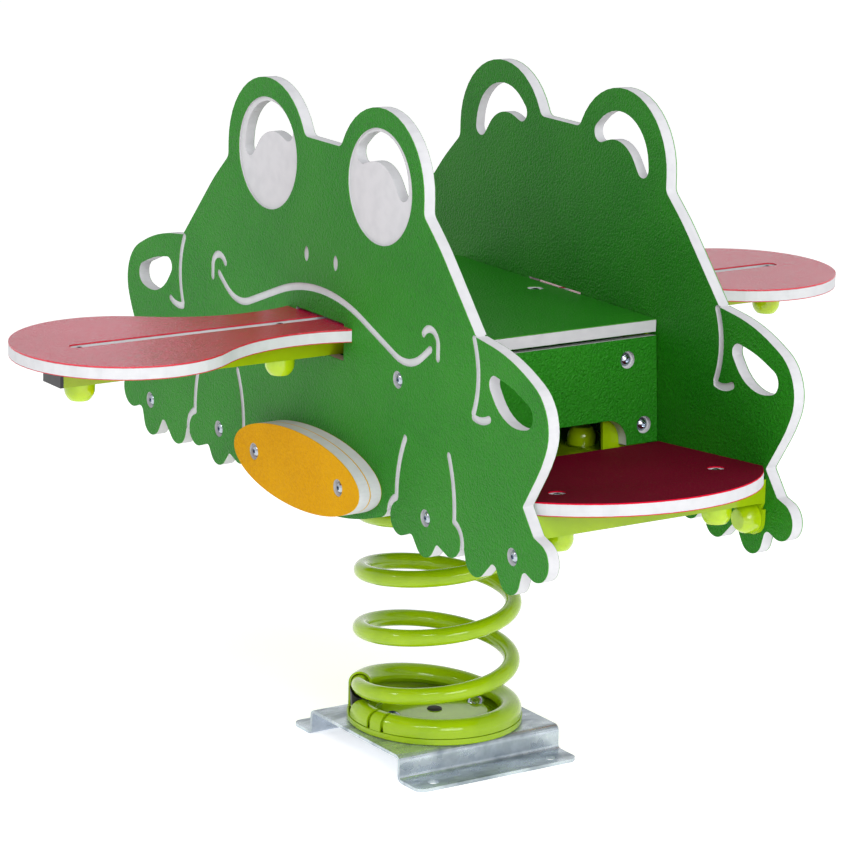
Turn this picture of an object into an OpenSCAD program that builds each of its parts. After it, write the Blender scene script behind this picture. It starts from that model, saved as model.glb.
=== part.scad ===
// Spring rocker for a playground, used as a seesaw by four children.
// Two frog-shaped sheet panels carry a bench, two tongue seats and two footrests.
// The whole upper part stands on one large coil spring above a ground plate.
// Millimetres, +Z up. The origin is on the ground under the spring's axis.
// The front tongue points along -X. The object is the same on both sides of X = 0 and Y = 0.

/* [Sheet] */
// Thickness of the plastic sheet that all boards are cut from
sheet_t = 15; // [13:0.5:17]
// Width of the routed white lines
groove_w = 8.6; // [5:0.2:9]
// Depth of the routed white lines
groove_d = 2.5; // [1.5:0.5:4]

/* [Panels] */
// Distance from the centre to a panel's outer face
panel_x = 171; // [168:1:176]
// Height of the flat edge between the ears
head_top = 739.5; // [735:0.5:745]
// Radius of the round ear around each eye
ear_r = 87; // [84:1:90]
// Radius of the eye's white recess
eye_r = 65; // [60:1:68]
// Depth of the eye's white recess
eye_d = 2.5; // [1.5:0.5:4]

/* [Tongue seats] */
// Height of the top of a tongue seat
tongue_top = 538; // [530:1:540]
// Radius of a tongue seat's round end
tongue_r = 124; // [115:1:130]
// Distance from the centre to the middle of the round end
tongue_reach = 425.5; // [420:0.5:440]
// Half width of the tongue's neck
neck_half = 58; // [54:1:62]

/* [Bench] */
// Height of the top of the bench
seat_top_z = 543; // [542:0.5:545]
// Half width of the bench across the object
seat_half = 201.5; // [196:0.5:205]
// Lean of the side boards and rise of the footrests, in degrees
lean = 4.6; // [3:0.2:6]

/* [Footrests] */
// Height of the flat middle of the support tray
tray_top = 386; // [384:1:390]
// Distance from the centre to the outermost point of a footrest
foot_reach = 490; // [480:1:500]
// Radius of a footrest's curved edge
foot_r = 182; // [175:1:200]

/* [Spring] */
// Diameter of the spring wire
wire_d = 20; // [18:1:22]
// Outer diameter of the spring
coil_d = 200; // [190:2:206]
// Rise of one free turn
pitch = 71.5; // [68:0.5:76]
// Height of the middle of the wire in the top coil
top_coil_z = 325; // [320:1:328]

/* [Ground plate] */
// Length of the ground plate along X
plate_l = 226; // [215:1:240]
// Overall width of the ground plate along Y
plate_w = 280; // [270:1:290]
// Width of the raised web
web_w = 196; // [190:1:204]
// Height of the web's top
web_h = 32; // [28:1:34]
// Steel thickness of plates, brackets and the tray
steel_t = 4; // [3:0.5:5]

/* [Hidden] */
$fn = 48;
gap = 0.3;                       // clearance round a shank, and between boards
max_step = 9;                    // longest step round an outline's arcs, in degrees
max_chord = 14;                  // and along them, in millimetres
inner_x = panel_x - sheet_t;     // inner face of a panel
sides = [-1, 1];

// Fasteners: M8 button heads in the boards, M12 dome heads in the spring dishes
shank_r = 4;
hole_r = shank_r + gap;
head_r = 8;
head_h = 4.8;
bore_r = 10;                     // counterbore round a head
bore_d = 5;
nut_r = 7.5;                     // across the corners
nut_h = 6.5;
cap_r = 17;
cap_h = 20;
big_shank_r = 6;
big_hole_r = big_shank_r + gap;
big_head_r = 11.5;
big_nut_r = 10.9;
big_nut_h = 10;
dish_bolt_x = 60;

// Bolts through a panel, in the first quarter: [y, z]
pad_bolt = [91.5, 363.5];
foot_bolts = [[224, 357], [391, 356]];
bench_bolt = [163, 500];

// Rail that carries both tongues, and what sits on it
rail_w = 40;
rail_h = 25;
rail_wall = 2.5;
rail_end = 508;
rail_top = tongue_top - sheet_t;
rail_bottom = rail_top - rail_h;
slot_half = 52;
front_slot_top = 541;
back_slot_top = 544.5;
tenon_half = 50;
tongue_bolts_x = [223, 478];
tongue_groove_w = 17;
tongue_groove_d = 6;
tongue_groove_end = 481.5;
seat_bolt_x = 128;
post_x = 60;
post_w = 40;

// Bench sides
seat_bottom = seat_top_z - sheet_t;
board_top_z = 524;
board_top_y = 203;
board_len = 122;
board_half_x = 154;
arch_half = 110;
arch_h = 31;
arch_r = 26;
board_bolts = [[113, 24], [135, 101]];   // [x, distance down the board]
bracket_x = [88, 150];
bracket_foot = 125;                      // inner edge of the bracket's foot
bracket_gap = 10;                        // from the board's top edge to the bracket's

// Footrests and tray
wing_y = 200;                            // where the tray starts to rise
rest_in = 216;
rest_half_x = 155;
rest_bolt = [107, 382];
tray_out = 408;
tray_lip_z = 376;
tray_half_x = inner_x;
tray_rise = (tray_out - wing_y) * tan(lean);
hem_w = 52;                              // width of the tray's bottom return
hem_depth = (tray_top + tray_rise - tray_lip_z) * cos(lean);
flange_z = 366;
tab_r = 19;

// Spring
coil_r = coil_d / 2 - wire_d / 2;        // radius of the wire's middle line
wire_r = wire_d / 2;
bottom_coil_z = web_h + steel_t + wire_r;
start_a = 126;                           // where the wire starts
ramp_a = 380;                            // where it leaves the lower dish
turns_free = (top_coil_z - bottom_coil_z) / pitch;
land_a = ramp_a + turns_free * 360;      // where it meets the upper dish
end_a = land_a + (ramp_a - start_a);
wire_sides = 12;
ring_step = 15;
cut_a = [start_a, 906, 1296, 1626, land_a, end_a];   // where the spring's solids meet

// Dishes, clips and spacers
dish_r = 105;
dish_in = 73;
dish_rise = 6;
plug_r = 9;
lip_t = 3;                               // turned-up rim round the wire
lip_h = 7.5;
clip_in = wire_r + gap;
clip_out = clip_in + 3;
lower_clip = [193.5, 9];                 // middle and width, in degrees
upper_clips = [[188, 4.5], [197, 4.5]];
spacer_a = [143.5, 160];
sleeves = [[162, 186], [201, 501]];      // from and to, in degrees along the wire
sleeve_in = wire_r + 1.2;
sleeve_out = sleeve_in + 2.6;
sleeve_foot = web_h + lip_h + gap;       // height of the sleeves' lower edge

// Ground plate and spring head
flange_hole = [83, 124];
anchor_r = 7;
head_l = 226;
head_w = 330;
head_bolt = [100, 140];
head_foot_z = 382;
head_web = top_coil_z + wire_r + steel_t;

// Pads on the bellies
pad_a = 136;
pad_b = 45;

green = [0.16, 0.48, 0.17];
lime = [0.56, 0.75, 0.12];
ruby = [0.50, 0.05, 0.13];
amber = [0.85, 0.62, 0.08];
zinc = [0.70, 0.72, 0.75];
black = [0.08, 0.08, 0.09];

// ---------- outline made of tangent circles ----------
// Each circle is [y, z, r]. A positive r bulges outwards, a negative r is a hollow,
// and 0 is a sharp corner. The outline runs clockwise and touches each circle in turn.

function heading(a, b) =
    let (d = [b[0] - a[0], b[1] - a[1]])
    atan2(d[1], d[0]) - asin((a[2] - b[2]) / norm(d));

function turned(from, to, r) =
    let (d = to - from, w = d - 360 * floor(d / 360))
    r >= 0 ? (w == 0 ? 0 : w - 360) : w;

function rim(c, from, to) =
    c[2] == 0 ? [[c[0], c[1]]] :
    let (t = turned(from, to, c[2]),
        n = max(1, ceil(abs(t) / max_step), ceil(abs(t * c[2]) * PI / 180 / max_chord)))
    [for (i = [0 : n]) let (a = from + t * i / n + 90) [c[0] + c[2] * cos(a), c[1] + c[2] * sin(a)]];

function belt(c) =
    let (n = len(c), h = [for (i = [0 : n - 1]) heading(c[i], c[(i + 1) % n])])
    [for (i = [0 : n - 1]) each rim(c[i], h[(i + n - 1) % n], h[i])];

function open_belt(c) =
    let (n = len(c), h = [for (i = [0 : n - 2]) heading(c[i], c[i + 1])])
    [[c[0][0], c[0][1]],
     for (i = [1 : n - 2]) each rim(c[i], h[i - 1], h[i]),
     [c[n - 1][0], c[n - 1][1]]];

function flipped(c) = [for (i = [len(c) - 1 : -1 : 0]) [-c[i][0], c[i][1], c[i][2]]];

function arc(c, r, from, to, n = 10) =
    [for (i = [0 : n]) let (a = from + (to - from) * i / n) [c[0] + r * cos(a), c[1] + r * sin(a)]];

// Heading of a line of points at its point i
function line_heading(p, i) =
    let (n = len(p) - 1, a = p[max(i - 1, 0)], b = p[i], c = p[min(i + 1, n)],
        before = i == 0 ? c - b : b - a, after = i == n ? b - a : c - b,
        d = before / norm(before) + after / norm(after))
    atan2(d[1], d[0]);

// Outline of a line of points drawn with half width w and round ends
function ribbon(p, w) =
    let (n = len(p) - 1, h = [for (i = [0 : n]) line_heading(p, i)])
    [for (i = [0 : n]) p[i] + w * [cos(h[i] + 90), sin(h[i] + 90)],
     for (a = [60 : -30 : -60]) p[n] + w * [cos(h[n] + a), sin(h[n] + a)],
     for (i = [n : -1 : 0]) p[i] + w * [cos(h[i] - 90), sin(h[i] - 90)],
     for (a = [240 : -30 : 120]) p[0] + w * [cos(h[0] + a), sin(h[0] + a)]];

// ---------- the frog's outline and lines, right half, [y, z, r] ----------

// A circle of radius r that touches the rim of circle c at the angle a
function touching(c, r, a) =
    [c[0] + 1.002 * (c[2] - r) * cos(a), c[1] + 1.002 * (c[2] - r) * sin(a), r];

ear = [120, 708, ear_r];
arm_top = [310, 352, 224.5];
arm_bend = touching(arm_top, 53, 60);
arm_side = touching(arm_bend, 150, -19);
outer_toe = [434.8, 361.2, 22];
inner_foot_toe = [273.6, 344.5, 19.2];
belly_toe = [174.4, 345, 19.4];
frog_half = [
    [32.3, head_top + 10, -10],                                          // foot of the ear
    ear,
    [219, 695.5, -12],                                                   // neck
    [25, 450, 300],                                                      // shoulder
    [313.5, 580.5, -2.5], arm_top, arm_bend, arm_side,                   // arm
    [409.5, 414.5, -2.5], [431.5, 391.5, -6],                            // wrist
    outer_toe, [416, 336.5, -8],
    [386.7, 331.7, 18.6], [356.5, 331, -7.5],
    [323.2, 335.6, 19.4], [298.3, 338, -4],                              // between the feet
    inner_foot_toe, [250, 326, -6.5],
    [224, 331, 18.2], [196, 326, -6.5],
    belly_toe, [152.5, 352, -1.8],
    [128, 357, 22]];                                                     // belly
belly = [0, 691.9, 380];
frog_outline = belt(concat(frog_half, [belly], flipped(frog_half)));

smile_half = [[176, 578, -55], [226, 547, 0]];
smile = open_belt(concat([flipped(smile_half)[0], flipped(smile_half)[1]], [[0, 324.6, 245]], smile_half));
curl = concat([[241, 540]], arc([225.5, 554], 15.5, -5, 150));
arm_line = arc([217, 532.5], 101.9, 25, -22);
hook_line = arc([321.9, 527.7], 38.3, 255, 300, 5);
leg_line = arc([112.5, 372], 168, 23, -1, 7);
leg_ring = arc([inner_foot_toe[0], inner_foot_toe[1]], inner_foot_toe[2] + groove_w / 2, 74, -14, 8);
thigh_line = arc([318.7, 372], 152.7, 154.5, 181, 7);
thigh_ring = arc([belly_toe[0], belly_toe[1]], belly_toe[2] + groove_w / 2, 112, 172, 5);

nostril = [for (a = [0 : 15 : 345]) [31 + 5.2 * cos(a), 606 + 9 * sin(a)]];

// Hand holds: the crescent in the eye, and the leaf in the arm
crescent = belt([[116.3, 711.5, 56.6], [162.5, 709, 10.9], [108.5, 689.8, -44.2], [79.3, 738.6, 11.6]]);
arm_leaf = belt([[349.5, 533, 11], [338.8, 391.7, 152], [406.5, 512.5, 14.5], [391.7, 551.4, 56]]);

// ---------- small helpers ----------

// Turns an outline drawn in [y, z] into a plate whose outer face is at x
module plate_yz(x, t) {
    translate([x, 0, 0])
        rotate([90, 0, 90])
            translate([0, 0, -t])
                linear_extrude(t) children();
}

module scale_y(s) {
    if (s < 0) mirror([0, 1, 0]) children();
    else children();
}

module side_x(s) {
    if (s < 0) mirror([1, 0, 0]) children();
    else children();
}

// A line of constant width through the points, with round ends
module stroke(points, w) {
    polygon(ribbon(points, w / 2));
}

// Button head with a hexagon socket, standing on z = 0 with its shank below
module button_bolt(r, h, shank, length, socket) {
    difference() {
        union() {
            rotate_extrude()
                intersection() {
                    translate([0, -(r * r - h * h) / (2 * h)])
                        circle((r * r + h * h) / (2 * h));
                    square([r, h]);
                }
            translate([0, 0, -length]) cylinder(length, r = shank);
        }
        translate([0, 0, h * 0.35]) cylinder(h, r = socket, $fn = 6);
    }
}

// Hexagon nut standing on z = 0
module hex_nut(r, h, bore) {
    difference() {
        cylinder(h, r = r, $fn = 6);
        translate([0, 0, -1]) cylinder(h + 2, r = bore);
    }
}

// Plastic dome cap over a nut, standing on z = 0
module dome_cap() {
    rim_h = cap_h - cap_r * 0.75;
    difference() {
        union() {
            cylinder(rim_h, r = cap_r);
            translate([0, 0, rim_h])
                intersection() {
                    sphere(cap_r);
                    cylinder(cap_h - rim_h, r = cap_r);
                }
        }
        translate([0, 0, -1]) cylinder(13, r = nut_r + 1);
    }
}

// Puts its children at a panel bolt, with +Z pointing out of the object along X
module at_panel(s, y, z, x) {
    side_x(s)
        translate([x, y, z])
            rotate([0, 90, 0]) children();
}

module panel_bolt_places() {
    for (s = sides)
        for (m = sides)
            for (b = concat(foot_bolts, [bench_bolt]))
                at_panel(s, m * b[0], b[1], panel_x - bore_d) children();
}

module pad_bolt_places() {
    for (s = sides)
        for (m = sides)
            at_panel(s, m * pad_bolt[0], pad_bolt[1], panel_x + 2 * sheet_t - bore_d) children();
}

module inner_bolt_places() {
    for (s = sides)
        for (m = sides)
            for (b = concat([pad_bolt], foot_bolts, [bench_bolt]))
                at_panel(s, m * b[0], b[1], inner_x - steel_t)
                    mirror([0, 0, 1]) children();
}

// Local frame of a leaning side board: z runs down its outer face, y points outwards
module on_board(m) {
    scale_y(m)
        translate([0, board_top_y, board_top_z])
            rotate([lean, 0, 0]) children();
}

// Local frame of a rising footrest, with its origin where the tray starts to rise
module on_wing(m) {
    scale_y(m)
        translate([0, wing_y, tray_top])
            rotate([lean, 0, 0]) children();
}

module board_bolt_places() {
    for (m = sides)
        for (s = sides)
            for (b = board_bolts)
                on_board(m)
                    translate([s * b[0], -bore_d, -b[1]])
                        rotate([-90, 0, 0]) children();
}

function wing(y) = (y - wing_y) / cos(lean);

module rest_bolt_places(z) {
    for (m = sides)
        for (s = sides)
            on_wing(m)
                translate([s * rest_bolt[0], wing(rest_bolt[1]), z]) children();
}

// ---------- panels ----------

module frog_panel(slot_top) {
    lines = [arm_line, hook_line, leg_line, leg_ring, thigh_line, thigh_ring, curl];
    difference() {
        plate_yz(panel_x, sheet_t) polygon(frog_outline);
        plate_yz(panel_x + 1, groove_d + 1) {
            stroke(smile, groove_w);
            for (m = sides)
                scale_2d(m) {
                    for (l = lines) stroke(l, groove_w);
                    polygon(nostril);
                }
        }
        // The inner face has the arms' lines only
        plate_yz(inner_x + groove_d, groove_d + 1)
            for (m = sides)
                scale_2d(m)
                    for (l = [arm_line, hook_line]) stroke(l, groove_w);
        for (m = sides) {
            translate([panel_x - eye_d, m * 119, 707.6])
                rotate([0, 90, 0]) cylinder(eye_d + 1, r = eye_r, $fn = 96);
            plate_yz(panel_x + 1, sheet_t + 2)
                scale_2d(m) {
                    polygon(crescent);
                    polygon(arm_leaf);
                }
            for (b = concat([pad_bolt], foot_bolts, [bench_bolt]))
                translate([inner_x - 1, m * b[0], b[1]])
                    rotate([0, 90, 0]) cylinder(sheet_t + 2, r = hole_r);
            for (b = concat(foot_bolts, [bench_bolt]))
                translate([panel_x - bore_d, m * b[0], b[1]])
                    rotate([0, 90, 0]) cylinder(bore_d + 1, r = bore_r);
        }
        translate([inner_x - 1, -slot_half, rail_bottom])
            cube([sheet_t + 2, 2 * slot_half, slot_top - rail_bottom]);
    }
}

module scale_2d(s) {
    if (s < 0) mirror([1, 0]) children();
    else children();
}

module panel_front() { color(green) side_x(-1) frog_panel(front_slot_top); }
module panel_back() { color(green) frog_panel(back_slot_top); }

// One yellow layer of the belly, in the outline of an ellipse
module pad(layer) {
    x = panel_x + (layer + 1) * sheet_t;
    difference() {
        plate_yz(x, sheet_t)
            polygon([for (a = [0 : 5 : 355]) [pad_a * cos(a), pad_bolt[1] + pad_b * sin(a)]]);
        for (m = sides)
            translate([x - sheet_t - 1, m * pad_bolt[0], pad_bolt[1]])
                rotate([0, 90, 0]) {
                    cylinder(sheet_t + 2, r = hole_r);
                    if (layer == 1)
                        translate([0, 0, sheet_t + 1 - bore_d]) cylinder(bore_d + 1, r = bore_r);
                }
    }
}

module pad_front_inner() { color(amber) side_x(-1) pad(0); }
module pad_front_outer() { color(amber) side_x(-1) pad(1); }
module pad_back_inner() { color(amber) pad(0); }
module pad_back_outer() { color(amber) pad(1); }

// ---------- tongue seats and their rail ----------

// Centre of the hollow that joins the neck to the round end, tangent to both
hollow_x = 235;
hollow_r = (pow(tongue_reach - hollow_x, 2) + neck_half * neck_half - tongue_r * tongue_r)
    / (2 * (tongue_r - neck_half));
hollow = [hollow_x, neck_half + hollow_r, -hollow_r];
shoulder_x = panel_x + gap;
shoulder_y = hollow[1] - sqrt(hollow_r * hollow_r - pow(hollow_x - shoulder_x, 2)) - gap;
tongue_half = [hollow, [shoulder_x, shoulder_y, 0], [shoulder_x, tenon_half, 0], [158, tenon_half, 0]];

function low_half(c) = [for (i = [len(c) - 1 : -1 : 0]) [c[i][0], -c[i][1], c[i][2]]];

module tongue() {
    outline = belt(concat([[tongue_reach, 0, tongue_r]], low_half([for (i = [3 : -1 : 0]) tongue_half[i]]),
        [for (i = [3 : -1 : 0]) tongue_half[i]]));
    difference() {
        translate([0, 0, rail_top]) linear_extrude(sheet_t) polygon(outline);
        translate([0, 0, tongue_top - tongue_groove_d])
            linear_extrude(tongue_groove_d + 1) {
                translate([150, -tongue_groove_w / 2])
                    square([tongue_groove_end - 150, tongue_groove_w]);
                translate([tongue_groove_end, 0]) circle(tongue_groove_w / 2);
            }
        for (x = tongue_bolts_x)
            translate([x, 0, rail_top - 1]) cylinder(sheet_t + 2, r = hole_r);
    }
}

module tongue_front() { color(ruby) side_x(-1) tongue(); }
module tongue_back() { color(ruby) tongue(); }

module tongue_rail() {
    color(lime)
        difference() {
            translate([-rail_end, -rail_w / 2, rail_bottom]) cube([2 * rail_end, rail_w, rail_h]);
            translate([-rail_end - 1, -rail_w / 2 + rail_wall, rail_bottom + rail_wall])
                cube([2 * rail_end + 2, rail_w - 2 * rail_wall, rail_h - 2 * rail_wall]);
            for (s = sides)
                for (x = concat(tongue_bolts_x, [seat_bolt_x]))
                    translate([s * x, 0, rail_bottom - 1]) cylinder(rail_h + 2, r = hole_r);
        }
}

// Black end plug: a cover plate and a block that fills the tube's mouth
module rail_plug() {
    w = rail_w - 2 * rail_wall;
    h = rail_h - 2 * rail_wall;
    translate([rail_end, -rail_w / 2, rail_bottom]) cube([4, rail_w, rail_h]);
    translate([rail_end - 14, -w / 2, rail_bottom + rail_wall]) cube([15, w, h]);
}

module rail_plug_front() { color(black) side_x(-1) rail_plug(); }
module rail_plug_back() { color(black) rail_plug(); }

module tongue_bolts() {
    color(zinc)
        for (s = sides)
            for (x = tongue_bolts_x)
                translate([s * x, 0, tongue_top - tongue_groove_d])
                    button_bolt(head_r, head_h, shank_r, sheet_t - tongue_groove_d + rail_h + 8, 2.9);
}

module tongue_nuts() {
    color(zinc)
        for (s = sides)
            for (x = tongue_bolts_x)
                translate([s * x, 0, rail_bottom - nut_h]) hex_nut(nut_r, nut_h, hole_r);
}

module tongue_caps() {
    color(lime)
        for (s = sides)
            for (x = tongue_bolts_x)
                translate([s * x, 0, rail_bottom]) mirror([0, 0, 1]) dome_cap();
}

// Tube standing on the tray under the rail, inside the bench
module rail_post(s) {
    h = rail_bottom - tray_top;
    color(lime)
        translate([s * post_x - post_w / 2, -post_w / 2, tray_top])
            difference() {
                cube([post_w, post_w, h]);
                translate([3, 3, -1]) cube([post_w - 6, post_w - 6, h + 2]);
            }
}

module rail_post_front() { rail_post(-1); }
module rail_post_back() { rail_post(1); }

// ---------- bench ----------

module seat_top() {
    color(green)
        difference() {
            translate([-board_half_x, -seat_half, seat_bottom])
                cube([2 * board_half_x, 2 * seat_half, sheet_t]);
            for (s = sides)
                translate([s * seat_bolt_x, 0, seat_bottom - 1]) {
                    cylinder(sheet_t + 2, r = hole_r);
                    translate([0, 0, sheet_t + 1 - bore_d]) cylinder(bore_d + 1, r = bore_r);
                }
        }
}

module seat_bolts() {
    color(zinc)
        for (s = sides)
            translate([s * seat_bolt_x, 0, seat_top_z - bore_d])
                button_bolt(head_r, head_h, shank_r, seat_top_z - bore_d - rail_bottom + 8, 2.9);
}

module seat_nuts() {
    color(zinc)
        for (s = sides)
            translate([s * seat_bolt_x, 0, rail_bottom - nut_h]) hex_nut(nut_r, nut_h, hole_r);
}

// Plastic strips that fill the gap between the rail and the bench top
module seat_packers() {
    color(black)
        for (s = sides)
            translate([s * seat_bolt_x, 0, rail_top])
                difference() {
                    translate([-26, -rail_w / 2, 0]) cube([52, rail_w, seat_bottom - rail_top]);
                    translate([0, 0, -1]) cylinder(sheet_t, r = hole_r);
                }
}

// Steel angles that join the bench top to the panels
module bench_angles() {
    leg = 36;
    width = 44;
    color(lime)
        for (s = sides)
            for (m = sides)
                side_x(s)
                    translate([inner_x, m * bench_bolt[0] - width / 2, 0])
                        difference() {
                            union() {
                                translate([-leg, 0, seat_bottom - steel_t]) cube([leg, width, steel_t]);
                                translate([-steel_t, 0, bench_bolt[1] - 20])
                                    cube([steel_t, width, seat_bottom - bench_bolt[1] + 20]);
                            }
                            translate([-steel_t - 1, width / 2, bench_bolt[1]])
                                rotate([0, 90, 0]) cylinder(steel_t + 2, r = hole_r);
                        }
}

module side_board(m) {
    color(green)
        difference() {
            on_board(m)
                translate([-board_half_x, -sheet_t, -board_len]) cube([2 * board_half_x, sheet_t, board_len]);
            on_board(m)
                translate([0, 1, -board_len])
                    rotate([90, 0, 0])
                        linear_extrude(sheet_t + 2)
                            polygon(belt([[-arch_half, -5, 0], [-arch_half + arch_r, arch_h - arch_r, arch_r],
                                [arch_half - arch_r, arch_h - arch_r, arch_r], [arch_half, -5, 0]]));
            for (s = sides)
                for (b = board_bolts)
                    on_board(m)
                        translate([s * b[0], -sheet_t - 1, -b[1]])
                            rotate([-90, 0, 0]) {
                                cylinder(sheet_t + 2, r = hole_r);
                                translate([0, 0, sheet_t + 1 - bore_d]) cylinder(bore_d + 1, r = bore_r);
                            }
        }
}

module side_board_left() { side_board(-1); }
module side_board_right() { side_board(1); }

// A point of the leaning board's section: u is outwards from its outer face, v is down along it
function board_point(u, v) =
    [board_top_y + u * cos(lean) + v * sin(lean), board_top_z + u * sin(lean) - v * cos(lean)];

// How far down the board a line at u reaches the height z
function board_drop(u, z) = (board_top_z - z + u * sin(lean)) / cos(lean);

// Steel angle in a corner of the bench: an upright behind the board, and a foot on the tray
module corner_bracket(s, m) {
    width = bracket_x[1] - bracket_x[0];
    back = -sheet_t - 0.05;                      // the leaning faces only touch
    front = -sheet_t - steel_t;
    foot_top = tray_top + steel_t;
    section = [[bracket_foot, tray_top], board_point(back, board_drop(back, tray_top)),
        board_point(back, bracket_gap), board_point(front, bracket_gap),
        board_point(front, board_drop(front, foot_top)), [bracket_foot, foot_top]];
    color(lime)
        side_x(s) scale_y(m)
            difference() {
                plate_yz(bracket_x[1], width) polygon(section);
                translate([head_bolt[0], head_bolt[1], tray_top - 1])
                    cylinder(steel_t + 2, r = hole_r);
                for (b = board_bolts)
                    on_board(1)
                        translate([b[0], front - 1, -b[1]])
                            rotate([-90, 0, 0]) cylinder(steel_t + 2, r = hole_r);
            }
}

module bracket_front_left() { corner_bracket(-1, -1); }
module bracket_front_right() { corner_bracket(-1, 1); }
module bracket_back_left() { corner_bracket(1, -1); }
module bracket_back_right() { corner_bracket(1, 1); }

module board_bolts() {
    color(zinc)
        board_bolt_places()
            button_bolt(head_r, head_h, shank_r, sheet_t - bore_d + steel_t + 8, 2.9);
}

module board_nuts() {
    color(zinc)
        board_bolt_places()
            translate([0, 0, bore_d - sheet_t - steel_t - nut_h]) hex_nut(nut_r, nut_h, hole_r);
}

// ---------- footrests and the tray below ----------

module footrest(m) {
    edge = foot_reach - foot_r;                   // centre of the curved edge
    corner = edge + sqrt(foot_r * foot_r - rest_half_x * rest_half_x);
    half_angle = asin(rest_half_x / foot_r);
    outline = concat([[-rest_half_x, wing(rest_in)], [-rest_half_x, wing(corner)]],
        [for (i = [1 : 23]) let (a = -half_angle + i * half_angle / 12)
            [foot_r * sin(a), wing(edge + foot_r * cos(a))]],
        [[rest_half_x, wing(corner)], [rest_half_x, wing(rest_in)]]);
    color(ruby)
        difference() {
            on_wing(m) linear_extrude(sheet_t) polygon(outline);
            for (s = sides)
                on_wing(m)
                    translate([s * rest_bolt[0], wing(rest_bolt[1]), -1]) {
                        cylinder(sheet_t + 2, r = hole_r);
                        translate([0, 0, sheet_t + 1 - bore_d]) cylinder(bore_d + 1, r = bore_r);
                    }
        }
}

module footrest_left() { footrest(-1); }
module footrest_right() { footrest(1); }

module footrest_bolts() {
    color(zinc)
        rest_bolt_places(sheet_t - bore_d)
            button_bolt(head_r, head_h, shank_r, sheet_t - bore_d + hem_depth + 8, 2.9);
}

module footrest_nuts() {
    color(zinc)
        rest_bolt_places(-hem_depth - nut_h) hex_nut(nut_r, nut_h, hole_r);
}

module footrest_caps() {
    color(lime)
        rest_bolt_places(-hem_depth) mirror([0, 0, 1]) dome_cap();
}

// Bent sheet: flat in the middle, rising under the footrests, where each end is folded down and
// back under itself, with flanges along the panels
module support_tray() {
    end_z = tray_top + tray_rise;
    hem_y = tray_out - hem_w;
    hem_z = tray_lip_z - hem_w * tan(lean);
    half = [[wing_y, tray_top], [tray_out, end_z], [tray_out, tray_lip_z], [hem_y, hem_z],
        [hem_y, hem_z + steel_t], [tray_out - steel_t, tray_lip_z + steel_t],
        [tray_out - steel_t, end_z - steel_t], [wing_y, tray_top - steel_t]];
    section = concat(half, [for (i = [len(half) - 1 : -1 : 0]) [-half[i][0], half[i][1]]]);
    side = [[-tray_out, end_z - 1], [-wing_y, tray_top - 1], [wing_y, tray_top - 1],
        [tray_out, end_z - 1], [tray_out, tray_lip_z], [tray_out - 4, flange_z],
        [4 - tray_out, flange_z], [-tray_out, tray_lip_z]];
    color(lime)
        difference() {
            union() {
                plate_yz(tray_half_x, 2 * tray_half_x) polygon(section);
                for (s = sides)
                    side_x(s) {
                        plate_yz(tray_half_x, steel_t) polygon(side);
                        for (m = sides)
                            for (b = concat([pad_bolt], foot_bolts)) {
                                translate([tray_half_x - steel_t, m * b[0], b[1]])
                                    rotate([0, 90, 0]) cylinder(steel_t, r = tab_r);
                                translate([tray_half_x - steel_t, m * b[0] - tab_r, b[1]])
                                    cube([steel_t, 2 * tab_r, flange_z - b[1] + 3]);
                            }
                    }
            }
            for (s = sides)
                for (m = sides) {
                    for (b = concat([pad_bolt], foot_bolts))
                        side_x(s)
                            translate([tray_half_x - steel_t - 1, m * b[0], b[1]])
                                rotate([0, 90, 0]) cylinder(steel_t + 2, r = hole_r);
                    translate([s * head_bolt[0], m * head_bolt[1], tray_top - steel_t - 1])
                        cylinder(steel_t + 2, r = hole_r);
                }
            rest_bolt_places(-hem_depth - 3) cylinder(hem_depth + 6, r = hole_r);
        }
}

// ---------- hat sections: ground plate and spring head ----------

// Hat section along X with its feet on z = 0, bent from steel with rounded corners
module hat(length, width, web, height, foot_corner) {
    r = 8;
    ri = r - steel_t;
    side_y = web / 2;
    section = [
        [-width / 2, 0], [-width / 2, steel_t],
        each arc([-side_y - ri, r], ri, -90, 0, 5),
        each arc([-side_y + r, height - r], r, 180, 90, 5),
        each arc([side_y - r, height - r], r, 90, 0, 5),
        each arc([side_y + ri, r], ri, 180, 270, 5),
        [width / 2, steel_t], [width / 2, 0],
        each arc([side_y + ri, r], r, 270, 180, 5),
        each arc([side_y - r, height - r], ri, 0, 90, 5),
        each arc([-side_y + r, height - r], ri, 90, 180, 5),
        each arc([-side_y - ri, r], r, 0, -90, 5)];
    c = foot_corner;
    intersection() {
        plate_yz(length / 2, length) polygon(section);
        linear_extrude(height + 1)
            polygon(belt([[-length / 2 + c, width / 2 - c, c], [length / 2 - c, width / 2 - c, c],
                [length / 2 - c, c - width / 2, c], [-length / 2 + c, c - width / 2, c]]));
    }
}

module ground_plate() {
    color(zinc)
        difference() {
            hat(plate_l, plate_w, web_w, web_h, 12);
            for (s = sides) {
                for (m = sides)
                    translate([s * flange_hole[0], m * flange_hole[1], -1])
                        cylinder(steel_t + 2, r = anchor_r);
                translate([s * dish_bolt_x, 0, web_h - steel_t - 1]) cylinder(steel_t + 2, r = big_hole_r);
            }
        }
}

// The same section upside down, between the spring and the tray
module spring_head() {
    color(lime)
        translate([0, 0, head_foot_z])
            mirror([0, 0, 1])
                difference() {
                    hat(head_l, head_w, web_w, head_foot_z - head_web, 12);
                    for (s = sides) {
                        for (m = sides)
                            translate([s * head_bolt[0], m * head_bolt[1], -1])
                                cylinder(steel_t + 2, r = hole_r);
                        translate([s * dish_bolt_x, 0, head_foot_z - head_web - steel_t - 1])
                            cylinder(steel_t + 2, r = big_hole_r);
                    }
                }
}

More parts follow.
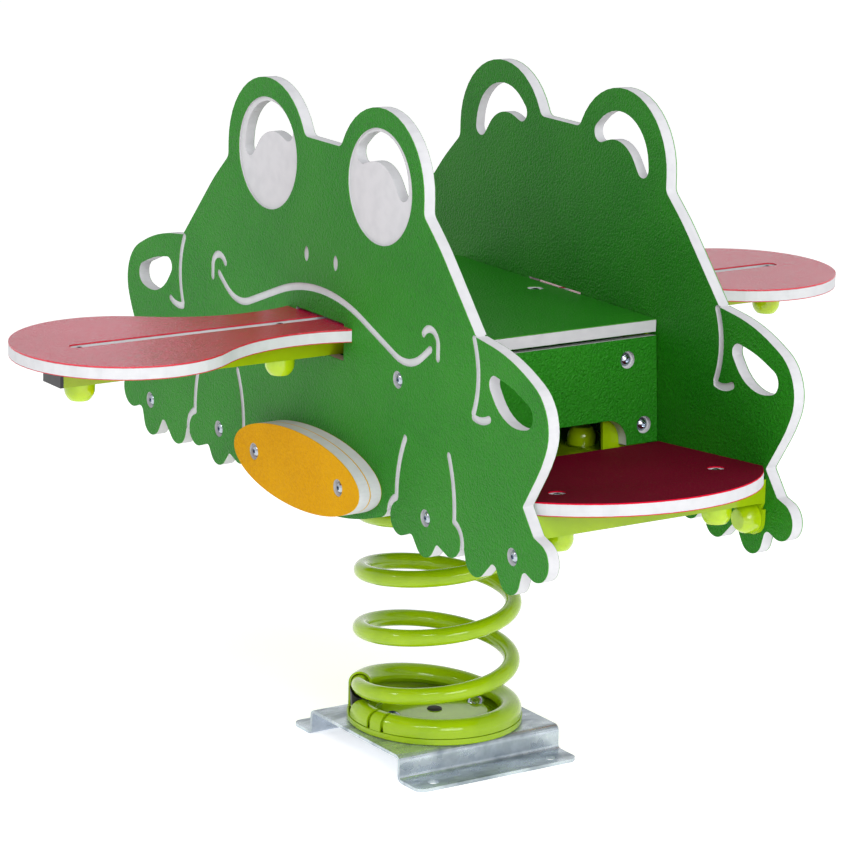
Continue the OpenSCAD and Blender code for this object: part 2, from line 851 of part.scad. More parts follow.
module head_bolts() {
    color(zinc)
        for (s = sides)
            for (m = sides)
                translate([s * head_bolt[0], m * head_bolt[1], head_foot_z - steel_t])
                    mirror([0, 0, 1]) button_bolt(head_r, head_h, shank_r, 3 * steel_t + 8, 2.9);
}

module head_nuts() {
    color(zinc)
        for (s = sides)
            for (m = sides)
                translate([s * head_bolt[0], m * head_bolt[1], tray_top + steel_t])
                    hex_nut(nut_r, nut_h, hole_r);
}

module head_caps() {
    color(lime)
        for (s = sides)
            for (m = sides)
                translate([s * head_bolt[0], m * head_bolt[1], tray_top + steel_t]) dome_cap();
}

// ---------- spring and its seats ----------

// Pressed dish on z = 0: a flat floor under the wire, a turned-up rim and a raised middle
module dish() {
    t = steel_t;
    difference() {
        rotate_extrude($fn = 96)
            polygon([[0, dish_rise], [dish_in - 12, dish_rise], [dish_in, 0], [dish_r - 2, 0],
                each arc([dish_r - 2, 2], 2, -90, 0, 4), [dish_r, lip_h], [dish_r - lip_t, lip_h],
                [dish_r - lip_t, t], [dish_in + 2, t], [dish_in - 10, dish_rise + t], [0, dish_rise + t]]);
        cylinder(3 * t, r = plug_r - 2);
        for (s = sides)
            translate([s * dish_bolt_x, 0, -1]) cylinder(4 * t, r = big_hole_r);
    }
}

module lower_spring_dish() {
    color(lime) translate([0, 0, web_h]) dish();
}

module upper_spring_dish() {
    color(lime)
        translate([0, 0, top_coil_z + wire_r + steel_t]) mirror([0, 0, 1]) dish();
}

module lower_dish_bolts() {
    color(zinc)
        for (s = sides)
            translate([s * dish_bolt_x, 0, web_h + dish_rise + steel_t])
                button_bolt(big_head_r, 7, big_shank_r, dish_rise + 2 * steel_t + big_nut_h + 2, 4.6);
}

module lower_dish_nuts() {
    color(zinc)
        for (s = sides)
            translate([s * dish_bolt_x, 0, web_h - steel_t - big_nut_h])
                hex_nut(big_nut_r, big_nut_h, big_hole_r);
}

module upper_dish_bolts() {
    color(zinc)
        for (s = sides)
            translate([s * dish_bolt_x, 0, head_web - dish_rise - steel_t])
                mirror([0, 0, 1])
                    button_bolt(big_head_r, 7, big_shank_r, dish_rise + 2 * steel_t + big_nut_h + 2, 4.6);
}

module upper_dish_nuts() {
    color(zinc)
        for (s = sides)
            translate([s * dish_bolt_x, 0, head_web + steel_t]) hex_nut(big_nut_r, big_nut_h, big_hole_r);
}

// Black push-in plug in the middle of the lower dish
module dish_plug() {
    color(black)
        translate([0, 0, web_h + dish_rise]) {
            translate([0, 0, steel_t])
                rotate_extrude()
                    polygon([[0, 0], [plug_r, 0], [plug_r - 0.5, 1.5], [plug_r - 3, 2.5], [0, 2.5]]);
            translate([0, 0, -1]) cylinder(steel_t + 2, r = plug_r - 2 - gap);
        }
}

// Height of the wire's middle line at an angle along the spring
function wire_z(a) = bottom_coil_z + pitch * (min(max(a, ramp_a), land_a) - ramp_a) / 360;

// Faces of a solid that runs through n + 1 rings of k points each
function tube_faces(n, k) = concat(
    [for (i = [0 : n - 1]) for (j = [0 : k - 1])
        let (p = i * k + j, q = i * k + (j + 1) % k) each [[p, q, q + k], [p, q + k, p + k]]],
    [[for (j = [k - 1 : -1 : 0]) j], [for (j = [0 : k - 1]) n * k + j]]);

// One stretch of the wire between two angles, swept in rings
module wire(from, to) {
    n = round((to - from) / ring_step);
    k = wire_sides;
    rings = [for (i = [0 : n]) let (a = from + (to - from) * i / n)
        for (j = [0 : k - 1]) let (b = j * 360 / k, r = coil_r + wire_r * cos(b))
            [r * cos(a), r * sin(a), wire_z(a) + wire_r * sin(b)]];
    polyhedron(rings, tube_faces(n, k));
}

module spring_bottom_coil() { color(lime) wire(cut_a[0], cut_a[1]); }
module spring_turn_lower() { color(lime) wire(cut_a[1], cut_a[2]); }
module spring_turn_middle() { color(lime) wire(cut_a[2], cut_a[3]); }
module spring_turn_upper() { color(lime) wire(cut_a[3], cut_a[4]); }
module spring_top_coil() { color(lime) wire(cut_a[4], cut_a[5]); }

// Hook round the outside of the end coil, from the dish's rim to the wire's top
module coil_clip(place) {
    foot = lip_h - wire_r - steel_t + 0.1;
    rotate(place[0] - place[1] / 2)
        rotate_extrude(angle = place[1])
            translate([coil_r, wire_r + steel_t])
                polygon(concat([[clip_in + 0.8, foot], [clip_out + 0.5, foot]],
                    arc([0, 0], clip_out, 0, 115, 10), arc([0, 0], clip_in, 115, 0, 10)));
}

module lower_coil_clip() {
    color(lime) translate([0, 0, web_h]) coil_clip(lower_clip);
}

module upper_coil_clips() {
    color(lime)
        for (c = upper_clips)
            translate([0, 0, head_web])
                mirror([0, 0, 1]) rotate(-2 * c[0]) coil_clip(c);
}

// Rubber block between the end coil and the turn above it, hollowed to fit both
module coil_spacer() {
    span = spacer_a[1] - spacer_a[0];
    turn_z = wire_z(spacer_a[0] + span / 2 + 360);
    color(black)
        rotate(spacer_a[0])
            rotate_extrude(angle = span)
                translate([coil_r, 0])
                    polygon(concat(arc([0, bottom_coil_z], wire_r + 1, 145, 20, 8),
                        arc([0, turn_z], wire_r + 2.2, -20, -145, 8)));
}

// Guard over the wire's top and outside, down to the dish's rim, so that no finger gets under it
module sleeve(from, to) {
    n = ceil((to - from) / 9);
    rings = [for (i = [0 : n]) let (a = from + (to - from) * i / n, foot = sleeve_foot - wire_z(a))
        for (p = concat([[sleeve_out, foot]], arc([0, 0], sleeve_out, 0, 188, 9),
            arc([0, 0], sleeve_in, 188, 0, 9), [[sleeve_in, foot]]))
            let (r = coil_r + p[0]) [r * cos(a), r * sin(a), wire_z(a) + p[1]]];
    polyhedron(rings, tube_faces(n, len(rings) / (n + 1)));
}

module coil_sleeves() {
    color(lime)
        for (s = sleeves) sleeve(s[0], s[1]);
}

// ---------- fasteners of the panels ----------

module panel_bolts() {
    color(zinc) {
        panel_bolt_places()
            button_bolt(head_r, head_h, shank_r, sheet_t - bore_d + steel_t + 8, 2.9);
        pad_bolt_places()
            button_bolt(head_r, head_h, shank_r, 3 * sheet_t - bore_d + steel_t + 8, 2.9);
    }
}

module panel_nuts() {
    color(zinc) inner_bolt_places() hex_nut(nut_r, nut_h, hole_r);
}

module panel_caps() {
    color(lime) inner_bolt_places() dome_cap();
}

// ---------- nodes ----------

ground_plate();
lower_spring_dish();
lower_dish_bolts();
lower_dish_nuts();
dish_plug();
lower_coil_clip();
coil_spacer();
coil_sleeves();
spring_bottom_coil();
spring_turn_lower();
spring_turn_middle();
spring_turn_upper();
spring_top_coil();
upper_spring_dish();
upper_coil_clips();
upper_dish_bolts();
upper_dish_nuts();
spring_head();
support_tray();
head_bolts();
head_nuts();
head_caps();
bracket_front_left();
bracket_front_right();
bracket_back_left();
bracket_back_right();
rail_post_front();
rail_post_back();
tongue_rail();
rail_plug_front();
rail_plug_back();
seat_packers();
bench_angles();
panel_front();
panel_back();
pad_front_inner();
pad_front_outer();
pad_back_inner();
pad_back_outer();
tongue_front();
tongue_back();
tongue_bolts();
tongue_nuts();
tongue_caps();
seat_top();
seat_bolts();
seat_nuts();
side_board_left();
side_board_right();
board_bolts();
board_nuts();
footrest_left();
footrest_right();
footrest_bolts();
footrest_nuts();
footrest_caps();
panel_bolts();
panel_nuts();
panel_caps();
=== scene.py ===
import math

import bpy
import numpy as np
from mathutils import Matrix, Vector


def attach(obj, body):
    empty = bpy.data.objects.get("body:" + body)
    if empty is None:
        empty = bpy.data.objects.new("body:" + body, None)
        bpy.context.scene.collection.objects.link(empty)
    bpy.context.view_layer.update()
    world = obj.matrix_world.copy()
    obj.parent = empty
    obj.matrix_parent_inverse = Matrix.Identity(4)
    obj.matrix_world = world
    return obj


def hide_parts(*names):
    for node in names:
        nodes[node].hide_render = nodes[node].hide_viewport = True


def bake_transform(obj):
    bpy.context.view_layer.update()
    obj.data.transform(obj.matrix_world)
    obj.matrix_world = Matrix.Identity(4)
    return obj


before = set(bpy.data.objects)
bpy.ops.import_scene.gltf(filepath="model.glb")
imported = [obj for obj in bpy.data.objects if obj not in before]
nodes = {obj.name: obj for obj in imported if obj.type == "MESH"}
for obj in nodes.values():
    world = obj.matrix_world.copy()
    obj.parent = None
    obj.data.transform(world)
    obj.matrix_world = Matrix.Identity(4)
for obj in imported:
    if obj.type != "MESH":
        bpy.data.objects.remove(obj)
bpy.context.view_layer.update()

scene = bpy.context.scene
MM = 0.001

# Sizes repeated from part.scad
SHEET = 15 * MM                 # every board's thickness
HALF = SHEET / 2
LEAN = math.radians(4.6)        # lean of the bench sides, and rise of the footrests
PANEL_X = 171 * MM              # outer face of a panel
TONGUE_TOP = 538 * MM
SEAT_TOP = 543 * MM
BOARD_TOP_Y, BOARD_TOP_Z = 203 * MM, 524 * MM
REST_Y, REST_Z = 200 * MM, 386 * MM
COIL_R, WIRE_R = 90 * MM, 10 * MM
BOTTOM_Z, TOP_Z, PITCH = 46 * MM, 325 * MM, 71.5 * MM
SLEEVE_IN, SLEEVE_OUT, SLEEVE_FOOT = 11.2 * MM, 13.8 * MM, 39.8 * MM

# Degrees along the wire: where it starts, leaves the lower dish, lands on the upper one and ends
START_A, RAMP_A = 126, 380
LAND_A = RAMP_A + (TOP_Z - BOTTOM_Z) / PITCH * 360
END_A = LAND_A + RAMP_A - START_A
CUTS = [START_A, 906, 1296, 1626, LAND_A, END_A]
SLEEVES = [(162, 186), (201, 501)]


# ---------- camera ----------

def make_camera():
    yaw, pitch, roll = (math.radians(a) for a in (33.82, 14.25, 1.41))
    place = (-2.2677, -3.3496, 1.4183)
    forward = Vector((math.sin(yaw) * math.cos(pitch), math.cos(yaw) * math.cos(pitch), -math.sin(pitch)))
    right = Vector((math.cos(yaw), -math.sin(yaw), 0))
    up = right.cross(forward)
    x = math.cos(roll) * right + math.sin(roll) * up
    y = -math.sin(roll) * right + math.cos(roll) * up
    cam = bpy.data.cameras.new("camera")
    cam.lens, cam.sensor_width = 151.2, 36
    cam.clip_start, cam.clip_end = 0.1, 100
    obj = bpy.data.objects.new("camera", cam)
    turn = Matrix((x, y, -forward)).transposed().to_4x4()
    obj.matrix_world = Matrix.Translation(place) @ turn
    scene.collection.objects.link(obj)
    scene.camera = obj


# ---------- materials ----------

# A noise's values lie mostly between these two
NOISE_LOW, NOISE_HIGH = 0.3, 0.7


class Graph:
    """A material's nodes, made by short calls.

    A signal is a (node, output) pair. Every call that makes a texture or a sum gives one back, except
    cells, whose node has two useful outputs.
    """

    def __init__(self, name):
        self.material = bpy.data.materials.new(name)
        self.material.use_nodes = True
        self.tree = self.material.node_tree
        self.tree.nodes.clear()
        self.shader = self.add("BsdfPrincipled")
        self.join((self.shader, "BSDF"), self.add("OutputMaterial"), "Surface")
        coords = self.add("TexCoord")
        self.place = (coords, "Object")
        self.normal = (coords, "Normal")

    def add(self, kind, **settings):
        node = self.tree.nodes.new("ShaderNode" + kind)
        for key, value in settings.items():
            setattr(node, key, value)
        return node

    def join(self, signal, node, into):
        self.tree.links.new(signal[0].outputs[signal[1]], node.inputs[into])

    def feed(self, value, node, into):
        """Joins a signal to an input, or sets the input to a number or a colour."""
        if not isinstance(value, tuple):
            node.inputs[into].default_value = value
        elif len(value) == 2:
            self.join(value, node, into)
        else:
            node.inputs[into].default_value = (*value, 1.0)

    def set(self, **constants):
        """Sets inputs of the shader, with _ for each space in their names."""
        for key, value in constants.items():
            self.shader.inputs[key.replace("_", " ")].default_value = value

    def finish(self, colour, roughness, bump, **constants):
        self.join(colour, self.shader, "Base Color")
        self.join(roughness, self.shader, "Roughness")
        self.join(bump, self.shader, "Normal")
        self.set(**constants)
        return self.material

    def noise(self, scale, detail=2.0, roughness=0.5, stretch=None, distortion=0.0):
        node = self.add("TexNoise", noise_dimensions="3D")
        node.inputs["Scale"].default_value = scale
        node.inputs["Detail"].default_value = detail
        node.inputs["Roughness"].default_value = roughness
        node.inputs["Distortion"].default_value = distortion
        place = self.place
        if stretch:
            mapping = self.add("Mapping")
            mapping.inputs["Scale"].default_value = stretch
            self.join(place, mapping, "Vector")
            place = (mapping, "Vector")
        self.join(place, node, "Vector")
        return node, "Fac"

    def cells(self, scale, feature="F1", smooth=None):
        node = self.add("TexVoronoi", feature=feature)
        node.inputs["Scale"].default_value = scale
        if smooth is not None:
            node.inputs["Smoothness"].default_value = smooth
        self.join(self.place, node, "Vector")
        return node

    def ramp(self, signal, low=NOISE_LOW, high=NOISE_HIGH, to_low=0.0, to_high=1.0):
        """Maps low..high to to_low..to_high, and holds the ends."""
        node = self.add("MapRange")
        node.inputs["From Min"].default_value = low
        node.inputs["From Max"].default_value = high
        node.inputs["To Min"].default_value = to_low
        node.inputs["To Max"].default_value = to_high
        self.join(signal, node, "Value")
        return node, "Result"

    def math(self, operation, a, b=None):
        node = self.add("Math", operation=operation)
        self.feed(a, node, 0)
        if b is not None:
            self.feed(b, node, 1)
        return node, "Value"

    def dot(self, signal, vector):
        node = self.add("VectorMath", operation="DOT_PRODUCT")
        self.join(signal, node, 0)
        node.inputs[1].default_value = vector
        return node, "Value"

    def mix(self, factor, a, b):
        """Colour a to colour b. A Mix node has its colours at inputs 6 and 7, and the result at output 2."""
        node = self.add("Mix", data_type="RGBA")
        self.feed(factor, node, 0)
        self.feed(a, node, 6)
        self.feed(b, node, 7)
        return node, 2

    def mix_numbers(self, factor, a, b):
        """Number a to number b. A Mix node has its numbers at inputs 2 and 3, and the result at output 0."""
        node = self.add("Mix", data_type="FLOAT")
        self.feed(factor, node, 0)
        self.feed(a, node, 2)
        self.feed(b, node, 3)
        return node, 0

    def bump(self, height, strength, distance, after=None):
        node = self.add("Bump")
        node.inputs["Strength"].default_value = strength
        node.inputs["Distance"].default_value = distance
        self.join(height, node, "Height")
        if after:
            self.join(after, node, "Normal")
        return node, "Normal"


def darker(colour, share):
    return tuple(c * share for c in colour)


def sheet_material(name, skin, light, crease_shade, cut, point, normal,
                   rough=0.4, grain=1.0, gloss=0.5, thick=(1.0, 0.3)):
    """A white board with a coloured, pebbled skin on both faces.

    cut is the skin's brighter colour where it is cut through at an edge. point and normal give the board's
    middle plane; thick is the skin's thickness in millimetres on the face that normal points out of, and
    on the other one.
    """
    core, core_shade, core_rough = (0.570, 0.572, 0.594), (0.50, 0.505, 0.53), 0.55
    wander, blur = 0.1 * MM, 0.1 * MM       # how far the skin's edge strays, and half its width
    outer_skin, inner_skin = HALF - thick[0] * MM, thick[1] * MM - HALF

    g = Graph(name)
    offset = g.add("VectorMath", operation="SUBTRACT")
    g.join(g.place, offset, 0)
    offset.inputs[1].default_value = point
    across = g.dot((offset, "Vector"), normal)
    depth = g.math("ADD", across, g.ramp(g.noise(140), to_low=-wander, to_high=wander))
    outer = g.ramp(depth, outer_skin - blur, outer_skin + blur)
    inner = g.ramp(depth, inner_skin + blur, inner_skin - blur)
    mask = g.math("MAXIMUM", outer, inner)

    # Embossed grain: pebbles about 3 mm across that run into each other, with a finer one on top
    pebble = g.cells(380, "SMOOTH_F1", 0.5)
    crease = g.noise(300, 3, 0.6, distortion=0.6)
    fine = g.noise(1100, 2, 0.6)
    height = g.math("MULTIPLY", (pebble, "Distance"), 0.9)
    height = g.math("ADD", height, g.ramp(crease))
    height = g.math("ADD", height, g.ramp(fine, to_high=0.25))
    height = g.math("MULTIPLY", height, mask)
    bump = g.bump(height, 1.0, 0.5 * MM * grain)

    # The skin: painted shade darkens it in the grain's creases; lighter in clouds, brightest where it is cut
    tone = g.mix(g.ramp(crease, 0.36, 0.62), crease_shade, skin)
    tone = g.mix(g.ramp(g.noise(7, 3), 0.35, 0.65, to_high=0.5), tone, light)
    facing = g.math("ABSOLUTE", g.dot(g.normal, normal))
    tone = g.mix(g.ramp(facing, 0.97, 0.85), tone, cut)

    # Sawn and routed white core, with faint tool marks
    white = g.mix(g.ramp(g.noise(60), 0.4, 0.7, to_high=0.6), core, core_shade)
    tone = g.mix(mask, white, tone)
    skin_rough = g.ramp(crease, to_low=rough - 0.06, to_high=rough + 0.08)
    return g.finish(tone, g.mix_numbers(mask, core_rough, skin_rough), bump, Specular_IOR_Level=gloss)


def coated_steel(name, colour, deep, rough):
    """Gloss powder coat: a faint orange peel under a clear top, and a little darkening in patches."""
    g = Graph(name)
    cloud = g.noise(22, 3, 0.6)
    tone = g.mix(g.ramp(cloud, 0.35, 0.7), colour, deep)
    roughness = g.ramp(cloud, to_low=rough - 0.04, to_high=rough + 0.06)
    bump = g.bump(g.noise(420), 0.1, 0.3 * MM)
    return g.finish(tone, roughness, bump, Specular_IOR_Level=0.25, Coat_Weight=0.35, Coat_Roughness=0.03)


def moulded(name, colour, rough, coat=0.0):
    """Moulded plastic or rubber with a faint grain."""
    g = Graph(name)
    cloud = g.noise(40, 3)
    tone = g.mix(g.ramp(cloud, 0.35, 0.7), colour, darker(colour, 0.78))
    roughness = g.ramp(cloud, to_low=rough - 0.04, to_high=rough + 0.08)
    bump = g.bump(g.noise(900), 0.15, 0.2 * MM)
    return g.finish(tone, roughness, bump, Coat_Weight=coat, Coat_Roughness=0.1)


def bright_metal(name, colour, rough):
    """Bright plated steel with fine scratches."""
    g = Graph(name)
    cloud = g.noise(260, 3)
    tone = g.mix(g.ramp(cloud, 0.35, 0.7), colour, darker(colour, 0.8))
    roughness = g.ramp(cloud, to_low=rough - 0.05, to_high=rough + 0.1)
    bump = g.bump(g.noise(1500, stretch=(1, 1, 0.2)), 0.1, 0.1 * MM)
    return g.finish(tone, roughness, bump, Metallic=1.0)


def galvanised(name):
    """Hot-dip zinc: flat crystals about 8 mm across, under cloudy streaks."""
    pale, grey, flake_tone = (0.56, 0.63, 0.71), (0.22, 0.27, 0.33), (0.60, 0.64, 0.68)
    g = Graph(name)
    crystal = g.cells(120)
    flake = g.math("MULTIPLY", g.ramp((crystal, "Color"), 0.0, 1.0), 0.35)
    streak = g.noise(14, 4, 0.6, stretch=(1, 3, 1))
    tone = g.mix(g.ramp(streak, 0.42, 0.62), pale, grey)
    tone = g.mix(flake, tone, flake_tone)
    roughness = g.math("ADD", g.ramp(streak, to_low=0.20, to_high=0.38),
                       g.ramp((crystal, "Color"), 0.0, 1.0, -0.06, 0.08))
    bump = g.bump((crystal, "Distance"), 0.12, 0.4 * MM)
    bump = g.bump(g.noise(35, 3), 0.2, 0.8 * MM, after=bump)
    return g.finish(tone, roughness, bump, Metallic=0.75)


# Sheet skins: the green boards, the tongues, the footrests and the bellies
RED_CUT = (0.560, 0.003, 0.026)
GREEN = dict(skin=(0.013, 0.208, 0.005), light=(0.024, 0.236, 0.008), crease_shade=(0.005, 0.150, 0.002),
             cut=(0.060, 0.330, 0.020), grain=1.8, gloss=0.2)
# The tongues and the footrests are one red sheet in two copies. The tongues' copy is painted lighter, and
# its wide light-to-dark spread in the grain paints glints of sheen
TONGUE_PAINTED_LIGHT = dict(skin=(0.520, 0.003, 0.052), light=(0.570, 0.006, 0.062), crease_shade=(0.350, 0.002, 0.030),
              cut=RED_CUT, rough=0.15, gloss=0.9)
# The footrests' copy is painted much darker: painted shade between the panels
REST_PAINTED_SHADE = dict(skin=(0.130, 0.001, 0.014), light=(0.150, 0.002, 0.018), crease_shade=(0.090, 0.001, 0.008),
            cut=RED_CUT, rough=0.65, grain=0.6, gloss=0.04)
YELLOW = dict(skin=(0.620, 0.310, 0.002), light=(0.670, 0.350, 0.003), crease_shade=(0.540, 0.250, 0.001),
              cut=(0.720, 0.400, 0.010), rough=0.5, grain=0.7, gloss=0.03)

LIME = coated_steel("lime_coat", (0.320, 0.490, 0.003), (0.260, 0.420, 0.002), 0.12)
CAP = moulded("lime_caps", (0.430, 0.630, 0.002), 0.14, 0.3)
ZINC = bright_metal("bright_zinc", (0.46, 0.51, 0.58), 0.09)
GALVANISED = galvanised("galvanised")
RUBBER = moulded("black_rubber", (0.018, 0.018, 0.020), 0.55)
BLACK = moulded("black_plastic", (0.010, 0.011, 0.014), 0.3)


# ---------- the CAD nodes ----------

def finish_node(name, material, bevel=0.0):
    """Gives a CAD node its material and smooth shading, and rounds its edges by bevel."""
    o = nodes[name]
    o.data.materials.clear()
    o.data.materials.append(material)
    for p in o.data.polygons:
        p.use_smooth = True
    o.data.set_sharp_from_angle(angle=math.radians(35))
    if bevel:
        # Triangles in one plane are joined first, so that the bevel runs along clean edges
        flat = o.modifiers.new("flat", "DECIMATE")
        flat.decimate_type = "DISSOLVE"
        flat.angle_limit = math.radians(1)
        b = o.modifiers.new("edge", "BEVEL")
        b.width, b.segments = bevel, 2
        b.limit_method, b.angle_limit = "ANGLE", math.radians(40)
        b.use_clamp_overlap = False
        b.miter_outer = "MITER_ARC"
        normals = o.modifiers.new("normals", "WEIGHTED_NORMAL")
        normals.keep_sharp = False


def upright_plane(side, x):
    """Middle plane of an upright board, x from the middle, as a dict of point and normal."""
    return dict(point=(side * x, 0, 0), normal=(side, 0, 0))


def level_plane(top):
    """Middle plane of a level board whose upper face is at top."""
    return dict(point=(0, 0, top - HALF), normal=(0, 0, 1))


def board_plane(side):
    """Middle plane of a leaning side board."""
    n = (0, side * math.cos(LEAN), math.sin(LEAN))
    p = np.array((0, side * BOARD_TOP_Y, BOARD_TOP_Z)) - np.array(n) * HALF
    return dict(point=tuple(p), normal=n)


def rest_plane(side):
    """Middle plane of a rising footrest."""
    n = (0, -side * math.sin(LEAN), math.cos(LEAN))
    p = np.array((0, side * REST_Y, REST_Z)) + np.array(n) * HALF
    return dict(point=tuple(p), normal=n)


def dress_panels():
    for name, side in (("front", -1), ("back", 1)):
        plane = upright_plane(side, PANEL_X - HALF)
        green = sheet_material("green_panel_" + name, **plane, **GREEN)
        finish_node("panel_" + name, green, 1.0 * MM)
        for layer, x in (("inner", PANEL_X + HALF), ("outer", PANEL_X + SHEET + HALF)):
            plane = upright_plane(side, x)
            yellow = sheet_material(f"yellow_{name}_{layer}", **plane, **YELLOW)
            finish_node(f"pad_{name}_{layer}", yellow, 1.5 * MM)


def dress_seats():
    # The tongues get the red sheet's lighter copy, painted light
    red = sheet_material("red_tongue_painted_light", **level_plane(TONGUE_TOP), thick=(1.9, 0.9), **TONGUE_PAINTED_LIGHT)
    for name in ("tongue_front", "tongue_back"):
        finish_node(name, red, 1.2 * MM)
    green = sheet_material("green_seat", **level_plane(SEAT_TOP), **GREEN)
    finish_node("seat_top", green, 1.0 * MM)
    for name, side in (("left", -1), ("right", 1)):
        green = sheet_material("green_board_" + name, **board_plane(side), thick=(0.4, 0.3), **GREEN)
        finish_node("side_board_" + name, green, 1.4 * MM)
        # The footrests get the red sheet's darker copy, painted shade
        red = sheet_material("red_rest_painted_shade_" + name, **rest_plane(side), thick=(1.6, 0.9), **REST_PAINTED_SHADE)
        finish_node("footrest_" + name, red, 1.2 * MM)


def dress_steel_and_plastic():
    for name in ("lower_spring_dish", "lower_coil_clip", "upper_spring_dish", "upper_coil_clips",
                 "spring_head", "support_tray", "rail_post_front", "rail_post_back", "tongue_rail",
                 "bench_angles", "bracket_front_left", "bracket_front_right", "bracket_back_left",
                 "bracket_back_right"):
        finish_node(name, LIME, 0.6 * MM)
    for name in ("head_caps", "tongue_caps", "footrest_caps", "panel_caps"):
        finish_node(name, CAP, 0.8 * MM)
    for name in nodes:
        if name.endswith(("_bolts", "_nuts")):
            finish_node(name, ZINC)
    finish_node("ground_plate", GALVANISED, 1.0 * MM)
    for name in ("dish_plug", "coil_spacer"):
        finish_node(name, RUBBER, 0.8 * MM)
    for name in ("rail_plug_front", "rail_plug_back", "seat_packers"):
        finish_node(name, BLACK, 1.0 * MM)


# ---------- the spring ----------

def wire_z(a):
    """Height of the wire's middle line, a degrees along it."""
    return BOTTOM_Z + PITCH * (min(max(a, RAMP_A), LAND_A) - RAMP_A) / 360


def swept(name, angles, section_at, material, upright=False):
    """A closed section of (outwards, up) points, given for each angle, carried along the spring's path.

    The section stands square to the path where it climbs, unless it is kept upright.
    """
    slope = math.atan2(PITCH, 2 * math.pi * COIL_R)
    sections = [section_at(a) for a in angles]
    k = len(sections[0])
    points, faces = [], []
    for a, section in zip(angles, sections):
        t = math.radians(a)
        climb = 0.0 if upright or not RAMP_A < a < LAND_A else slope
        along = Vector((-math.sin(t) * math.cos(climb), math.cos(t) * math.cos(climb), math.sin(climb)))
        out = Vector((math.cos(t), math.sin(t), 0))
        up = out.cross(along)
        centre = out * COIL_R + Vector((0, 0, wire_z(a)))
        points += [centre + out * p[0] + up * p[1] for p in section]
    for i in range(len(angles) - 1):
        for j in range(k):
            p, q = i * k + j, i * k + (j + 1) % k
            faces.append((p, p + k, q + k, q))
    last = (len(angles) - 1) * k
    faces += [tuple(range(k)), tuple(last + j for j in reversed(range(k)))]
    mesh = bpy.data.meshes.new(name)
    mesh.from_pydata(points, [], faces)
    mesh.validate()
    for p in mesh.polygons:
        p.use_smooth = True
    mesh.set_sharp_from_angle(angle=math.radians(50))
    mesh.materials.append(material)
    obj = bpy.data.objects.new(name, mesh)
    scene.collection.objects.link(obj)
    return obj


def steps(first, last, step):
    """Angles from first to last in equal steps no longer than step."""
    n = math.ceil((last - first) / step)
    return [first + (last - first) * i / n for i in range(n + 1)]


def arc(radius, turns):
    """Points of a circle about the origin, at each angle of turns, in radians."""
    return [(radius * math.cos(t), radius * math.sin(t)) for t in turns]


def make_spring():
    sides = 28
    ring = arc(WIRE_R, [2 * math.pi * j / sides for j in range(sides)])
    # Each stretch of the wire is listed with the two bodies it runs between; the top coil is held by the
    # upper dish
    stretches = [("spring_bottom_coil", ("base", "lower_turn")),
                 ("spring_turn_lower", ("lower_turn", "middle_turn")),
                 ("spring_turn_middle", ("middle_turn", "upper_turn")),
                 ("spring_turn_upper", ("upper_turn", "rocker")),
                 ("spring_top_coil", None)]
    for i, (name, pair) in enumerate(stretches):
        angles = steps(CUTS[i], CUTS[i + 1], 3)
        wire = swept("wire_" + name, angles, lambda a: ring, LIME)
        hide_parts(name)
        if pair is None:
            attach(wire, "rocker")
            continue
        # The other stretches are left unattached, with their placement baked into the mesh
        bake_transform(wire)


def sleeve_section(a):
    """Guard over the wire: a half round shell with a skirt outside, and rounded lips."""
    foot = SLEEVE_FOOT - wire_z(a)
    mid, lip = (SLEEVE_OUT + SLEEVE_IN) / 2, (SLEEVE_OUT - SLEEVE_IN) / 2
    end = math.radians(188)
    turns = [math.radians(d) for d in range(0, 181, 10)] + [end]
    tip = (mid * math.cos(end) + 0.6 * lip * math.sin(end), mid * math.sin(end) - 0.6 * lip * math.cos(end))
    outer, inner = arc(SLEEVE_OUT, turns), arc(SLEEVE_IN, turns[::-1])
    return [(SLEEVE_OUT, foot + 0.4 * MM)] + outer + [tip] + inner + [(SLEEVE_IN, foot)]


def make_sleeves():
    for i, (first, last) in enumerate(SLEEVES):
        sleeve = swept(f"sleeve_{i + 1}", steps(first, last, 4), sleeve_section, LIME, upright=True)
        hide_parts("coil_sleeves")
        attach(sleeve, "base")


# ---------- light and floor ----------

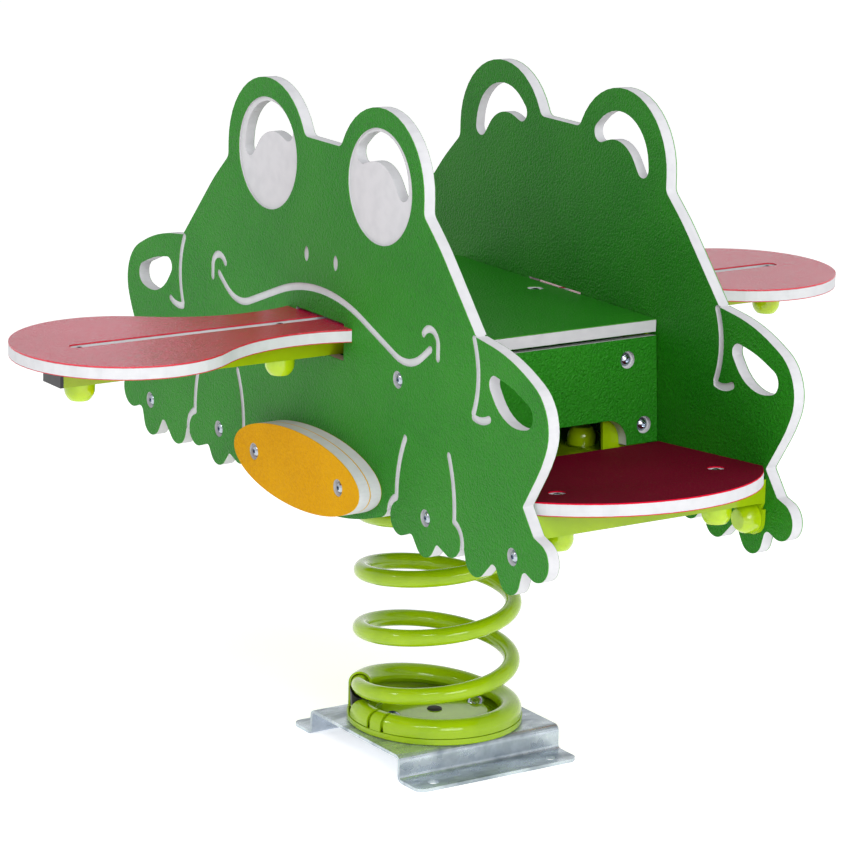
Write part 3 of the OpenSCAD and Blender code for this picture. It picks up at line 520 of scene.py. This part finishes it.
def make_world():
    """A white room with a darker ceiling."""
    world = bpy.data.worlds.new("studio")
    scene.world = world
    world.use_nodes = True
    tree = world.node_tree
    back = tree.nodes["Background"]
    coords = tree.nodes.new("ShaderNodeTexCoord")
    split = tree.nodes.new("ShaderNodeSeparateXYZ")
    ramp = tree.nodes.new("ShaderNodeMapRange")
    ramp.inputs["From Min"].default_value, ramp.inputs["From Max"].default_value = 0.30, 0.80
    ramp.inputs["To Min"].default_value, ramp.inputs["To Max"].default_value = 1.0, 0.35
    tree.links.new(coords.outputs["Generated"], split.inputs[0])
    tree.links.new(split.outputs["Z"], ramp.inputs["Value"])
    tree.links.new(ramp.outputs["Result"], back.inputs["Strength"])
    back.inputs["Color"].default_value = (1, 1, 1, 1)


def make_floor():
    """A white floor half a millimetre below the plate, with a faint glow that keeps shadows light."""
    g = Graph("floor")
    g.set(Base_Color=(0.9, 0.9, 0.9, 1), Roughness=0.9, Specular_IOR_Level=0.1,
          Emission_Color=(1, 1, 1, 1), Emission_Strength=0.5)
    mesh = bpy.data.meshes.new("floor")
    s = 14
    mesh.from_pydata([(-s, -s, 0), (s, -s, 0), (s, s, 0), (-s, s, 0)], [], [(0, 1, 2, 3)])
    mesh.materials.append(g.material)
    floor = bpy.data.objects.new("floor", mesh)
    floor.location = (0, 0, -0.5 * MM)
    scene.collection.objects.link(floor)


def area(name, place, target, size, power):
    light = bpy.data.lights.new(name, "AREA")
    light.shape, light.size, light.size_y, light.energy = "RECTANGLE", *size, power
    obj = bpy.data.objects.new(name, light)
    obj.location = place
    obj.rotation_euler = (Vector(target) - Vector(place)).to_track_quat("-Z", "Y").to_euler()
    scene.collection.objects.link(obj)


def make_lights():
    middle = (0, 0, 0.4)
    area("key", (-1.5, -2.2, 2.9), middle, (3.2, 0.3), 39)
    area("side", (-3.3, 0.9, 2.4), middle, (0.5, 0.5), 12)
    area("top", (0.4, -1.2, 3.6), middle, (1.6, 1.6), 16)
    area("fill", (-0.6, -3.4, 1.7), (0.1, 0, 0.45), (1.8, 1.2), 40)


make_camera()
dress_panels()
dress_seats()
dress_steel_and_plastic()
make_spring()
make_sleeves()
make_world()
make_floor()
make_lights()
scene.view_settings.view_transform = "Standard"
scene.view_settings.look = "None"
